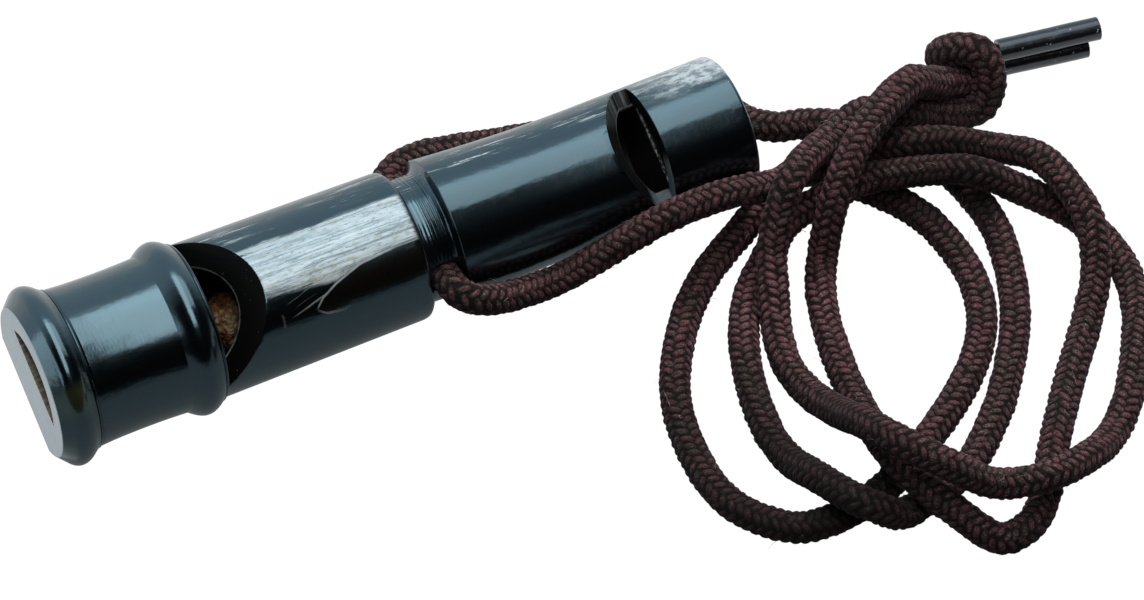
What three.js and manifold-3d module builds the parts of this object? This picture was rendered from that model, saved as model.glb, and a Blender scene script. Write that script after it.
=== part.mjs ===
// Double-ended dog whistle turned from one piece of horn, with a cork pea and a knotted cord.
// Millimetres, +Z up. The whistle lies along X with its mouthpiece at -X; u is the distance along
// its axis from the mouthpiece tip. It rests on its second bead and on the rim of its far end.
import * as THREE from 'three';
import { mergeVertices } from 'three/addons/utils/BufferGeometryUtils.js';
import Module from 'manifold-3d';

// turned outside of the horn
const totalLength = 88.6;
const endFaceRadius = 9.0;
const tipBeadCrest = 10.75;
const tipBeadCrestU = 2.2;
const tipBeadEndU = 4.9;
const tipBeadEndRadius = 9.4;
const barrelWaistU = 10.5;
const barrelWaistRadius = 9.25;
const ringBeadStartU = 15.8;
const ringBeadEndU = 20.3;
const ringBeadCrest = 10.45;
const ringBeadFootRadius = 9.3;
const nearBodyStartRadius = 9.25;
const nearBodyEndU = 45.6;
const nearBodyEndRadius = 8.97;
const neckStartU = 46.7;
const neckRadius = 7.45;
const shoulderU = 50.6;
const shoulderRadius = 8.85;
const coveLength = 0.9;
const farWaistU = 68;
const farWaistRadius = 8.15;
const farRimRadius = 8.42;
const farRimEase = 0.6;

// bores, windows and lip
const cutLean = 24;
const frontBoreRadius = 6.4;
const frontBoreEndU = 43;
const nearWallU = 20.4;
const nearRampTopU = 27;
const nearRampFloor = 2.9;
const rearBoreRadius = 6.2;
const rearBoreStartU = 54;
const farWallU = 77.5;
const farRampTopU = 71.75;
const farFloorHeight = 3.5;
const farFloorLength = 1.65;
const lipDepth = 5.5;
const lipSlope = 14;

// plugs and pea
const plugClearance = 0.3;
const plugSetback = 0.1;
const frontPlugTipHeight = 2.4;
const frontPlugWallHeight = 4.3;
const rearPlugTipHeight = 2.4;
const rearPlugWallHeight = 4.2;
const peaRadius = 3.7;
const peaU = 24.6;
const peaClearance = 0.3;

// cord and its hole through the neck
const cordDiameter = 3.8;
const cordRadius = cordDiameter / 2;
const holeClearance = 0.3;
const holeU = 48.6;
const holeRise = 11;
const crossingGap = 0.4;
const tableGap = 0.15;
const jointGap = 0.3;
const cordSides = 8;
const cordStep = 2.1;
const sleeveDiameter = 2.8;
const sleeveBore = 1.9;
const sleeveRecess = 1.4;

// the coil lies beside the far end; each row is sixteenths of a turn clockwise, radius and layer
const coilMiddle = [48.8, -30.1];
const frontLeg = [
  [4.3, -9.4, 11.3], [5.2, -10.8, 10.9], [7.2, -11.4, 9.9], [10.2, -11.2, 8.1], [14, -10.7, 6.6],
  [18, -10.4, 6.0], [22, -10.4, 7.1], [26, -10.5, 8.7], [30, -10.5, 10.1], [34, -10.6, 10.9],
  [38, -10.8, 11.1], [42, -10.8, 10.1], [45.2, -10.4, 8.5], [48.5, -8.8, 6.6], [51.6, -8.5, 4.9],
  [54.5, -9.9, 2.7],
];
const backLeg = [
  [4.3, 9.3, 7.7], [5.2, 10.8, 7.6], [7.2, 11.9, 7.6], [10.2, 12.2, 7.4], [14, 11.8, 6.8],
  [18, 11.5, 5.7], [23, 11.4, 4.2], [28, 11.3, 2.8], [33, 11.2, 2.0], [38, 11, 2.05],
  [42, 10.5, 2.05], [45.2, 9, 2.05], [47.4, 6.2, 2.05], [49, 3.2, 2.05], [51.6, 1.2, 2.05], [55.2, 0, 2.05],
];
const frontLoops = [
  [-3, 20.5, 0], [-2, 17, 0], [-1, 14.2, 0], [0, 12.7, 0], [1, 11.8, 0], [2, 11.6, 0],
  [3, 12.3, 0], [4, 14.6, 0], [5, 20.5, 0], [5.5, 25, 0], [6, 29, 0], [6.5, 30, 0],
  [7, 29.4, 0], [8, 26.2, 0], [9, 23.2, 0], [10, 21.6, 0], [11, 21.2, 0], [12, 23.9, 0],
  [12.5, 25.8, 0.05], [13, 24.3, 0.56], [13.5, 23.8, 1.08], [14, 25.9, 0.97], [14.5, 27.9, 0.68],
  [15, 28.5, 1.14], [15.5, 27.9, 1.24], [16, 27.4, 1.08], [16.5, 26, 0.45], [17, 24.1, 0.02],
  [18, 22.7, 0], [19, 25.6, 0], [19.5, 29.6, 0], [19.8, 31.6, 0], [20.1, 31.8, 0.05],
  [20.5, 28.1, 0.84], [21, 22.4, 1.3], [21.5, 13.6, 0.25], [22, 10, 0], [23, 7.1, 0],
  [24, 6, 0], [25, 6, 0], [26, 6.8, 0], [27, 9, 0.05], [27.5, 10.9, 0.3], [28, 13.1, 1.4],
  [28.5, 16.2, 2.22], [29, 21.7, 2.53], [29.5, 30.3, 2.14],
];
const backLoops = [
  [-3, 29.2, 0], [-2.5, 26.6, 0], [-2, 24.8, 0], [-1, 20.5, 0], [0, 17.6, 0], [1, 16.4, 0],
  [2, 16.2, 0], [3, 17.8, 0], [4, 21.4, 0], [4.5, 23.3, 0], [5, 26.4, 0.28],
  [5.25, 27.4, 0.9], [5.5, 27.1, 1.16],
  [6, 24.1, 0.78], [6.5, 21.5, 0.12], [7, 19.7, 0], [8, 17.3, 0], [9, 16.4, 0], [10, 16.6, 0],
  [11, 16.9, 0.1], [11.5, 17.4, 0.32], [12, 17, 0.67], [12.5, 16.8, 1.01], [13, 18.1, 1.07],
  [13.5, 19.3, 1.05], [14, 20.5, 1.02], [14.5, 21.8, 1.2], [15, 24.7, 0.62], [15.5, 28, 0.04],
  [16, 29.5, 0], [16.5, 30.1, 0], [17, 29.9, 0], [18, 29.8, 0], [18.5, 30, 0.03], [19, 30.2, 0.72],
  [19.5, 29.8, 1.14], [20, 27.6, 1.2], [20.5, 25.7, 2.12], [21, 22.9, 2.48], [21.5, 19, 1.98],
  [22, 15.6, 1.03], [22.5, 13.6, 0.46], [23, 12.6, 0.14], [24, 12, 0], [25, 12, 0.15],
  [26, 13.1, 0.67], [26.5, 14.5, 1.07], [27, 15.8, 1.86], [27.5, 17.2, 2.44], [28, 19.4, 2.26],
  [28.5, 22.3, 1.84], [29, 26.2, 1.65], [29.5, 29.0, 1.0],
];
const frontKnot = [
  [68.4, -3.4, 8.7], [70.8, -2.6, 7.0], [73, -2.2, 6.0], [75, -2, 5.5], [77, -1.8, 5], [79.2, -2.1, 4.9],
];
const backKnot = [
  [67.6, -5.5, 4.9], [70.2, -5.3, 3.6], [72.8, -5.6, 2.7], [75.0, -6.2, 2.7], [76.3, -6.2, 4.2],
  [76.4, -5.8, 6.2], [75.6, -4.6, 7.8], [74.6, -2.8, 8.4], [73.9, -0.8, 7.6], [73.6, 0.6, 5.6],
  [74.1, 1.2, 3.4], [75.4, 0.5, 2.05], [77.2, -0.3, 2.05], [79.2, -0.9, 2.05],
];
const upperSleeveEnd = [91.7, -4.1, 4.6];
const lowerSleeveEnd = [90.5, -3.0, 1.45];

const wasm = await Module();
wasm.setup();

function solid(geometry) {
  const bare = geometry.clone();
  bare.deleteAttribute('normal');
  bare.deleteAttribute('uv');
  const merged = mergeVertices(bare, 1e-5);
  const mesh = new wasm.Mesh({
    numProp: 3,
    vertProperties: new Float32Array(merged.attributes.position.array),
    triVerts: new Uint32Array(merged.index.array),
  });
  return new wasm.Manifold(mesh);
}

function geometryOf(manifold) {
  const mesh = manifold.getMesh();
  const geometry = new THREE.BufferGeometry();
  geometry.setAttribute('position', new THREE.Float32BufferAttribute(mesh.vertProperties, 3));
  geometry.setIndex(new THREE.Uint32BufferAttribute(mesh.triVerts, 1));
  const flat = geometry.toNonIndexed();
  flat.computeVertexNormals();
  return flat;
}

// a profile of [u, radius] turned round the whistle's axis
function turned(profile, segments) {
  const points = profile.map(([u, r]) => new THREE.Vector2(r, u));
  const geometry = new THREE.LatheGeometry(points, segments);
  geometry.rotateZ(-Math.PI / 2);
  return geometry;
}

function cylinder(u0, u1, radius, segments) {
  return turned([[u0, 0], [u0, radius], [u1, radius], [u1, 0]], segments);
}

// an outline of [u, height] pushed across the whistle, then leaned to the side the cuts face
function acrossCut(outline, lean) {
  const shape = new THREE.Shape(outline.map(([u, h]) => new THREE.Vector2(u, h)));
  const geometry = new THREE.ExtrudeGeometry(shape, { depth: 40, bevelEnabled: false });
  geometry.translate(0, 0, -20);
  geometry.rotateX(Math.PI / 2);
  geometry.rotateX(THREE.MathUtils.degToRad(lean));
  return geometry;
}

function beadProfile([u0, r0], [u1, r1], crest, count) {
  const rows = [];
  for (let i = 0; i <= count; i += 1) {
    const t = i / count;
    const base = r0 + (r1 - r0) * t;
    rows.push([u0 + (u1 - u0) * t, base + (crest - (r0 + r1) / 2) * Math.sin(Math.PI * t)]);
  }
  return rows;
}

function hornProfile() {
  const rows = [[0, 0], [0, endFaceRadius]];
  rows.push([0.5, endFaceRadius + 0.4 * (tipBeadCrest - endFaceRadius)]);
  rows.push([1.2, endFaceRadius + 0.8 * (tipBeadCrest - endFaceRadius)]);
  rows.push([tipBeadCrestU, tipBeadCrest]);
  const drop = tipBeadCrest - tipBeadEndRadius;
  rows.push([tipBeadCrestU + 0.37 * (tipBeadEndU - tipBeadCrestU), tipBeadEndRadius + 0.81 * drop]);
  rows.push([tipBeadCrestU + 0.74 * (tipBeadEndU - tipBeadCrestU), tipBeadEndRadius + 0.3 * drop]);
  rows.push([tipBeadEndU, tipBeadEndRadius]);
  rows.push([barrelWaistU, barrelWaistRadius]);
  const ringStart = [ringBeadStartU, ringBeadFootRadius];
  const ringEnd = [ringBeadEndU, nearBodyStartRadius];
  rows.push(...beadProfile(ringStart, ringEnd, ringBeadCrest, 10));
  rows.push([nearBodyEndU, nearBodyEndRadius]);
  rows.push([nearBodyEndU + 0.5 * (neckStartU - nearBodyEndU), nearBodyEndRadius - 0.12]);
  rows.push([neckStartU - 0.2, nearBodyEndRadius - 0.47]);
  rows.push([neckStartU, nearBodyEndRadius - 0.97]);
  rows.push([neckStartU, neckRadius]);
  rows.push([shoulderU - coveLength, neckRadius]);
  rows.push([shoulderU - 0.45 * coveLength, neckRadius + 0.25 * (shoulderRadius - neckRadius)]);
  rows.push([shoulderU - 0.1 * coveLength, neckRadius + 0.65 * (shoulderRadius - neckRadius)]);
  rows.push([shoulderU, shoulderRadius]);
  rows.push([shoulderU + 5.4, farWaistRadius + 0.5 * (shoulderRadius - farWaistRadius)]);
  rows.push([shoulderU + 11.4, farWaistRadius + 0.1 * (shoulderRadius - farWaistRadius)]);
  rows.push([farWaistU, farWaistRadius]);
  rows.push([totalLength - 8.6, farWaistRadius + 0.55 * (farRimRadius - farWaistRadius)]);
  rows.push([totalLength - farRimEase, farRimRadius]);
  rows.push([totalLength - 0.3 * farRimEase, farRimRadius - 0.2]);
  rows.push([totalLength, farRimRadius - 0.55]);
  rows.push([totalLength, 0]);
  return rows;
}

// what is cut from under the mouthpiece, horn and plug alike, for the lower lip
function lipCut() {
  const run = 20;
  const slope = Math.tan(THREE.MathUtils.degToRad(lipSlope));
  const outline = [[-1, slope - lipDepth], [-1, -30], [run, -30], [run, -run * slope - lipDepth]];
  return solid(acrossCut(outline, cutLean));
}

function hornBody() {
  let body = solid(turned(hornProfile(), 72));
  body = body.subtract(solid(cylinder(-1, frontBoreEndU, frontBoreRadius, 48)));
  body = body.subtract(solid(cylinder(rearBoreStartU, totalLength + 1, rearBoreRadius, 44)));
  const nearRise = (nearBodyStartRadius - nearRampFloor) / (nearRampTopU - nearWallU);
  const nearTop = nearRampFloor + 12 * nearRise;
  const near = [[nearWallU, nearRampFloor], [nearWallU + 12, nearTop], [nearWallU, nearTop]];
  body = body.subtract(solid(acrossCut(near, cutLean)));
  const farStart = farWallU - farFloorLength;
  const farRise = (farWaistRadius - farFloorHeight) / (farStart - farRampTopU);
  const farTop = farFloorHeight + 8 * farRise;
  const far = [[farWallU, farFloorHeight], [farWallU, farTop]];
  far.push([farStart - 8, farTop], [farStart, farFloorHeight]);
  body = body.subtract(solid(acrossCut(far, cutLean)));
  body = body.subtract(lipCut());
  const hole = new THREE.CylinderGeometry(cordRadius + holeClearance, cordRadius + holeClearance, 30, 32);
  hole.rotateX(THREE.MathUtils.degToRad(-holeRise));
  hole.translate(holeU, 0, 0);
  return geometryOf(body.subtract(solid(hole)));
}

function plug(u0, u1, radius, height0, height1) {
  const round = solid(cylinder(u0, u1, radius, 48));
  const slope = (height1 - height0) / (u1 - u0);
  const above = [[u0 - 1, height0 - slope], [u0 - 1, 20], [u1 + 1, 20], [u1 + 1, height1 + slope]];
  return round.subtract(solid(acrossCut(above.reverse(), cutLean)));
}

// the whistle's lean, so that the ring bead and the far rim both touch the table
const ringBeadCrestU = (ringBeadStartU + ringBeadEndU) / 2;
const tilt = Math.atan((ringBeadCrest - farRimRadius) / (totalLength - farRimEase - ringBeadCrestU));

function named(name, geometry, material) {
  const mesh = new THREE.Mesh(geometry, material);
  mesh.name = name;
  return mesh;
}

const horn = new THREE.MeshStandardMaterial({ color: 0x17191b, roughness: 0.22, metalness: 0 });
const plugHorn = new THREE.MeshStandardMaterial({ color: 0x1c1b1a, roughness: 0.4, metalness: 0 });
const cork = new THREE.MeshStandardMaterial({ color: 0x9a6a3c, roughness: 0.9, metalness: 0 });
const braid = new THREE.MeshStandardMaterial({ color: 0x33211f, roughness: 0.95, metalness: 0 });
const sleevePlastic = new THREE.MeshStandardMaterial({ color: 0x101214, roughness: 0.2, metalness: 0 });

const whistle = new THREE.Group();
whistle.name = 'whistle';
whistle.add(named('horn_body', hornBody(), horn));
const frontPlugRadius = frontBoreRadius - plugClearance;
const frontPlugEndU = nearWallU - plugSetback;
const frontRow = [frontPlugRadius, frontPlugTipHeight, frontPlugWallHeight];
const frontPlug = plug(plugSetback, frontPlugEndU, ...frontRow).subtract(lipCut());
whistle.add(named('front_plug', geometryOf(frontPlug), plugHorn));
const rearPlugRadius = rearBoreRadius - plugClearance;
const rearPlugStartU = farWallU + plugSetback;
const rearPlugEndU = totalLength - plugSetback;
const rearRow = [rearPlugRadius, rearPlugWallHeight, rearPlugTipHeight];
const rearPlug = plug(rearPlugStartU, rearPlugEndU, ...rearRow);
whistle.add(named('rear_plug', geometryOf(rearPlug), plugHorn));
const pea = new THREE.SphereGeometry(peaRadius, 24, 16);
pea.translate(peaU, 0, -(frontBoreRadius - peaRadius - peaClearance));
whistle.add(named('cork_pea', pea, cork));
whistle.rotation.y = tilt;
whistle.updateMatrixWorld(true);
const box = new THREE.Box3().setFromObject(whistle, true);
const middle = box.getCenter(new THREE.Vector3());
whistle.position.set(-middle.x, -middle.y, -box.min.z);
whistle.updateMatrixWorld(true);

// one half of the cord: from the middle of the hole out along its leg, round its loops and into the knot
function coilPoint([sixteenths, radius, layer]) {
  const angle = -sixteenths * Math.PI / 8;
  const height = tableGap + cordRadius + layer * (cordDiameter + crossingGap);
  const x = coilMiddle[0] + radius * Math.cos(angle);
  const y = coilMiddle[1] + radius * Math.sin(angle);
  return new THREE.Vector3(x, y, height);
}

function halfCord(side, leg, loops, knot) {
  const rise = THREE.MathUtils.degToRad(holeRise);
  const out = new THREE.Vector3(0, -Math.cos(rise), Math.sin(rise)).multiplyScalar(side);
  const start = whistle.localToWorld(new THREE.Vector3(holeU, 0, 0));
  const points = [];
  for (const reach of [jointGap / 2, 2.6, 5.2, 7.6]) {
    points.push(start.clone().addScaledVector(out, reach));
  }
  points.push(...leg.map((row) => new THREE.Vector3(...row)));
  const legEnd = points.length;
  points.push(...loops.map(coilPoint));
  const loopsEnd = points.length;
  points.push(...knot.map((row) => new THREE.Vector3(...row)));
  const curve = new THREE.CatmullRomCurve3(points);
  curve.arcLengthDivisions = points.length * 24;
  const arcs = curve.getLengths();
  const arcAt = (i) => arcs[Math.round(i * curve.arcLengthDivisions / (points.length - 1))];
  const legCut = arcAt(legEnd - 1);
  const knotCut = arcAt(loopsEnd);
  return { curve, length: curve.getLength(), legCut, knotCut };
}

// the part of a half between two lengths along it
function stretch(half, from, to) {
  const path = new THREE.Curve();
  path.getPoint = (t) => {
    const share = (from + (to - from) * t) / half.length;
    return half.curve.getPointAt(THREE.MathUtils.clamp(share, 0, 1));
  };
  path.reach = to - from;
  return path;
}

function tube(path) {
  const outline = [];
  for (let i = 0; i < cordSides; i += 1) {
    const a = i * 2 * Math.PI / cordSides;
    outline.push(new THREE.Vector2(cordRadius * Math.cos(a), cordRadius * Math.sin(a)));
  }
  return new THREE.ExtrudeGeometry(new THREE.Shape(outline), {
    steps: Math.ceil(path.reach / cordStep), bevelEnabled: false, extrudePath: path,
  });
}

// the least space between two stretches, or of one with itself where it comes back past its own bends
function leastGap(first, second, apart) {
  let least = Infinity;
  for (let i = 0; i < first.length; i += 1) {
    for (let j = first === second ? i + apart : 0; j < second.length; j += 1) {
      least = Math.min(least, first[i].distanceTo(second[j]) - cordDiameter);
    }
  }
  return least;
}

const front = halfCord(1, frontLeg, frontLoops, frontKnot);
const back = halfCord(-1, backLeg, backLoops, backKnot);
const gap = jointGap / 2;
const frontLegPath = stretch(front, 0, front.legCut - gap);
const backLegPath = stretch(back, 0, back.legCut - gap);
const frontLoopPath = stretch(front, front.legCut + gap, front.knotCut - gap);
const backLoopPath = stretch(back, back.legCut + gap, back.knotCut - gap);
const frontKnotPath = stretch(front, front.knotCut + gap, front.length - gap);
const backKnotPath = stretch(back, back.knotCut + gap, back.length - gap);

const fine = 1400;
const fineA = stretch(front, 0, front.knotCut).getPoints(fine);
const fineB = stretch(back, 0, back.knotCut).getPoints(fine);
const skip = Math.ceil(14 * fine / Math.min(front.knotCut, back.knotCut));
const crossGap = leastGap(fineA.slice(skip), fineB.slice(skip), 0);
console.log(`front half to itself ${leastGap(fineA, fineA, skip).toFixed(2)} mm`);
console.log(`back half to itself ${leastGap(fineB, fineB, skip).toFixed(2)} mm`);
console.log(`front half to back half ${crossGap.toFixed(2)} mm`);
console.log(`cord length ${(front.length + back.length).toFixed(0)} mm`);

const knot = solid(tube(frontKnotPath)).add(solid(tube(backKnotPath)));

function sleeve(startPoint, endRow) {
  const end = new THREE.Vector3(...endRow);
  const along = end.clone().sub(startPoint);
  const length = along.length() - jointGap;
  along.normalize();
  const radius = sleeveDiameter / 2;
  const profile = [[0, 0], [radius, 0], [radius, length], [sleeveBore / 2, length]];
  profile.push([sleeveBore / 2, length - sleeveRecess], [0, length - sleeveRecess]);
  const geometry = new THREE.LatheGeometry(profile.map(([r, h]) => new THREE.Vector2(r, h)), 20);
  geometry.applyQuaternion(new THREE.Quaternion().setFromUnitVectors(new THREE.Vector3(0, 1, 0), along));
  const start = startPoint.clone().addScaledVector(along, jointGap);
  geometry.translate(start.x, start.y, start.z);
  return geometry;
}

const group = new THREE.Group();
group.name = 'dog_whistle';
group.add(whistle);
group.add(named('cord_front_leg', tube(frontLegPath), braid));
group.add(named('cord_back_leg', tube(backLegPath), braid));
group.add(named('cord_front_loops', tube(frontLoopPath), braid));
group.add(named('cord_back_loops', tube(backLoopPath), braid));
group.add(named('cord_knot', geometryOf(knot), braid));
const upperStart = frontKnotPath.getPoint(1);
const lowerStart = backKnotPath.getPoint(1);
group.add(named('tip_sleeve_upper', sleeve(upperStart, upperSleeveEnd), sleevePlastic));
group.add(named('tip_sleeve_lower', sleeve(lowerStart, lowerSleeveEnd), sleevePlastic));

export default group;
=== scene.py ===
"""Looks for a double-ended horn whistle: turned body, cork pea, plugs and a knotted braided cord."""
import math

import bpy
import numpy as np
from mathutils import Matrix, Vector, noise


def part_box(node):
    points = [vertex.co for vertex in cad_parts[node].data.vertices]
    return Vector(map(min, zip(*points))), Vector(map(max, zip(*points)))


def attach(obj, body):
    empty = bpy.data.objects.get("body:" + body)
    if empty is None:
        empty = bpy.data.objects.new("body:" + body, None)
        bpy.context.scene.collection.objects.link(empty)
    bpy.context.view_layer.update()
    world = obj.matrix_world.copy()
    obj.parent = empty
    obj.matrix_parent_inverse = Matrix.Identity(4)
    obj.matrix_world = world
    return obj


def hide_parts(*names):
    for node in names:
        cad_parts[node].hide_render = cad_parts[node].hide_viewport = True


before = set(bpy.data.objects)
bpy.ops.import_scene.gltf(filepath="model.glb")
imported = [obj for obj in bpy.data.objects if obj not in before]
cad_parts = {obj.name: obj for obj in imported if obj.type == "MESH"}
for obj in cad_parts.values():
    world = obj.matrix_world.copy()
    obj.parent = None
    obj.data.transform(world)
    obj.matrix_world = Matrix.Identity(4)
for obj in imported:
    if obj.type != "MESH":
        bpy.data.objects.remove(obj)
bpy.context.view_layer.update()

MM = 0.001
TURN = 2 * math.pi

# the whistle lies along X; u is the distance in millimetres from its mouthpiece tip
WHISTLE_LENGTH = 88.6
WHISTLE_TILT = math.radians(1.6623)
FAR_END = Vector((44.2821, 0, 8.3991)) * MM
WHISTLE_PLACE = (
    Matrix.Translation(FAR_END)
    @ Matrix.Rotation(WHISTLE_TILT, 4, "Y")
    @ Matrix.Translation((-WHISTLE_LENGTH * MM, 0, 0))
)

# bores, windows, lip cut and cord hole: places along u, radii and heights above the axis in millimetres
FRONT_BORE, FRONT_BORE_END = 6.4, 43
REAR_BORE, REAR_BORE_START = 6.2, 54
NEAR_WALL, NEAR_FLOOR, NEAR_RAMP_TOP, NEAR_BODY_RADIUS = 20.4, 2.9, 27, 9.25
FAR_WALL, FAR_FLOOR, FAR_RAMP_TOP, FAR_BODY_RADIUS = 77.5, 3.5, 71.75, 8.15
FAR_FLOOR_LENGTH = 1.65
CUT_LEAN = math.radians(24)
LIP_DEPTH, LIP_SLOPE = 5.5, math.tan(math.radians(14))
HOLE_U, HOLE_RADIUS = 48.6, 2.2
HOLE_RISE = math.radians(11)

# the photograph's view
VIEW_AZIMUTH = math.radians(-26.0237)
VIEW_HEIGHT = math.radians(54.5)
VIEW_TARGET = Vector((15.7693, -16.4779, 10.9996)) * MM
VIEW_DISTANCE = 685.714 * MM
VIEW_LENS = 188.81


# --- shader tools

class Wire:
    """A shader socket. Sums, differences, products and shares of it add Math nodes."""

    def __init__(self, finish, socket):
        self.finish = finish
        self.socket = socket

    def math(self, operation, *values):
        return self.finish.add("ShaderNodeMath", {"operation": operation}, dict(enumerate(values)))

    def __add__(self, other):
        return self.math("ADD", self, other)

    def __sub__(self, other):
        return self.math("SUBTRACT", self, other)

    def __rsub__(self, other):
        return self.math("SUBTRACT", other, self)

    def __mul__(self, other):
        return self.math("MULTIPLY", self, other)

    def __truediv__(self, other):
        return self.math("DIVIDE", self, other)

    def __abs__(self):
        return self.math("ABSOLUTE", self)

    def most(self, other):
        return self.math("MAXIMUM", self, other)

    __radd__ = __add__
    __rmul__ = __mul__


class Finish:
    """The node tree of one material, or of the world."""

    def __init__(self, name, owner=None):
        self.owner = owner or bpy.data.materials.new(name)
        self.owner.use_nodes = True
        self.tree = self.owner.node_tree
        self.tree.nodes.clear()

    def add(self, kind, settings=None, sockets=None, out=0):
        """A node of that kind: its settings first, then the values or links of its sockets."""
        node = self.tree.nodes.new(kind)
        for key, value in (settings or {}).items():
            if key == "stops":
                while len(node.color_ramp.elements) < len(value):
                    node.color_ramp.elements.new(1)
                for element, (place, colour) in zip(node.color_ramp.elements, value):
                    element.position = place
                    element.color = (*colour, 1)
            else:
                setattr(node, key, value)
        for key, value in (sockets or {}).items():
            if isinstance(value, Wire):
                self.tree.links.new(value.socket, node.inputs[key])
            else:
                node.inputs[key].default_value = value
        return Wire(self, node.outputs[out]) if len(node.outputs) else None

    def ease(self, value, low, high):
        """0 below low, 1 above high, smooth between; low may be the larger."""
        flip = low > high
        ends = {"From Min": min(low, high), "From Max": max(low, high)}
        goes = {"To Min": float(flip), "To Max": float(not flip)}
        sockets = {"Value": value, **ends, **goes}
        return self.add("ShaderNodeMapRange", {"interpolation_type": "SMOOTHSTEP"}, sockets)

    def band(self, value, rise, fall):
        """1 between two soft ends, each given as where it starts to leave 0 and where it reaches 1."""
        return self.ease(value, *rise) * self.ease(value, *fall)

    def mix(self, share, first, second):
        """A colour between two colours."""
        first = (*first, 1) if isinstance(first, tuple) else first
        second = (*second, 1) if isinstance(second, tuple) else second
        return self.add("ShaderNodeMix", {"data_type": "RGBA"}, {0: share, 6: first, 7: second}, out=2)

    def vector(self, x, y, z):
        return self.add("ShaderNodeCombineXYZ", {}, {0: x, 1: y, 2: z})

    def parts(self, vector):
        split = self.add("ShaderNodeSeparateXYZ", {}, {0: vector})
        node = split.socket.node
        return [Wire(self, node.outputs[i]) for i in range(3)]

    def grain(self, vector, scale, detail=2.0, rough=0.5, distortion=0.0):
        """Noise from 0 to 1."""
        sockets = {"Vector": vector, "Scale": scale, "Detail": detail, "Roughness": rough, "Distortion": distortion}
        return self.add("ShaderNodeTexNoise", {}, sockets)

    def object_place(self):
        return self.add("ShaderNodeTexCoord", out=3)

    def bump(self, height, reach):
        return self.add("ShaderNodeBump", {}, {"Height": height, "Distance": reach, "Strength": 1.0})

    def surface(self, sockets):
        """A Principled surface as the material's output."""
        shader = self.add("ShaderNodeBsdfPrincipled", {}, sockets)
        self.add("ShaderNodeOutputMaterial", {}, {"Surface": shader})
        return self.owner


# --- modelling tools

def clear_selection():
    if bpy.context.mode != "OBJECT":
        bpy.ops.object.mode_set(mode="OBJECT")
    bpy.ops.object.select_all(action="DESELECT")


def pick(piece):
    clear_selection()
    piece.select_set(True)
    bpy.context.view_layer.objects.active = piece


def seat(piece, place):
    """Puts a mesh at its place, which goes into its points."""
    pick(piece)
    piece.matrix_world = place
    bpy.ops.object.transform_apply(location=True, rotation=True, scale=True)


def apply_modifiers(piece):
    pick(piece)
    for name in [m.name for m in piece.modifiers]:
        bpy.ops.object.modifier_apply(modifier=name)


def smooth_line(rows, step):
    """Points about one step apart on the centripetal curve through the rows."""
    p = np.array(rows, float)
    p = np.vstack([2 * p[0] - p[1], p, 2 * p[-1] - p[-2]])
    fine = []
    t = np.linspace(0, 1, 33)[:-1, None]
    for a, b, c, d in zip(p[:-3], p[1:-2], p[2:-1], p[3:]):
        ab, bc, cd = (np.sqrt(max(np.linalg.norm(q), 1e-9)) for q in (b - a, c - b, d - c))
        start = bc * ((b - a) / ab - (c - a) / (ab + bc) + (c - b) / bc)
        end = bc * ((c - b) / bc - (d - b) / (bc + cd) + (d - c) / cd)
        fine.append(b + start * t + (3 * (c - b) - 2 * start - end) * t ** 2 + (2 * (b - c) + start + end) * t ** 3)
    fine = np.vstack(fine + [p[-2:-1]])
    along = np.concatenate([[0], np.cumsum(np.linalg.norm(np.diff(fine, axis=0), axis=1))])
    count = max(2, int(round(along[-1] / step)) + 1)
    places = np.linspace(0, along[-1], count)
    return np.stack([np.interp(places, along, fine[:, i]) for i in range(fine.shape[1])], 1)


def turned(name, rows, steps):
    """A profile of (u, radius) rows, drawn out point by point and spun round the axis."""
    clear_selection()
    bpy.ops.mesh.primitive_plane_add(size=MM)
    piece = bpy.context.object
    piece.name = name
    bpy.ops.object.mode_set(mode="EDIT")
    bpy.ops.mesh.select_mode(type="VERT")
    bpy.ops.mesh.select_all(action="SELECT")
    bpy.ops.mesh.merge(type="CENTER")
    places = [Vector((u, 0, r)) * MM for u, r in rows]
    bpy.ops.transform.translate(value=places[0])
    for before, after in zip(places, places[1:]):
        bpy.ops.mesh.extrude_region_move(TRANSFORM_OT_translate={"value": after - before})
    bpy.ops.mesh.select_all(action="SELECT")
    bpy.ops.mesh.spin(steps=steps, angle=TURN, center=(0, 0, 0), axis=(1, 0, 0))
    bpy.ops.mesh.select_all(action="SELECT")
    bpy.ops.mesh.remove_doubles(threshold=2e-6)
    bpy.ops.mesh.normals_make_consistent(inside=False)
    bpy.ops.object.mode_set(mode="OBJECT")
    return piece


def across_cutter(outline):
    """A prism of an outline of (u, height), pushed across the whistle and leaned as the cuts are."""
    clear_selection()
    bpy.ops.mesh.primitive_circle_add(vertices=len(outline), radius=MM, fill_type="NGON")
    cutter = bpy.context.object
    for point, (u, height) in zip(cutter.data.vertices, outline):
        point.co = Vector((u, 20, height)) * MM
    bpy.ops.object.mode_set(mode="EDIT")
    bpy.ops.mesh.select_all(action="SELECT")
    bpy.ops.mesh.extrude_region_move(TRANSFORM_OT_translate={"value": (0, -40 * MM, 0)})
    bpy.ops.mesh.select_all(action="SELECT")
    bpy.ops.mesh.normals_make_consistent(inside=False)
    seat(cutter, Matrix.Rotation(CUT_LEAN, 4, "X"))
    return cutter


def cut(piece, cutter, material):
    """Takes the cutter out of the piece; the cut faces get the material."""
    cutter.data.materials.clear()
    cutter.data.materials.append(material)
    tool = piece.modifiers.new("cut", "BOOLEAN")
    tool.operation = "DIFFERENCE"
    tool.solver = "EXACT"
    tool.material_mode = "TRANSFER"
    tool.object = cutter
    apply_modifiers(piece)
    bpy.data.objects.remove(cutter)


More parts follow.
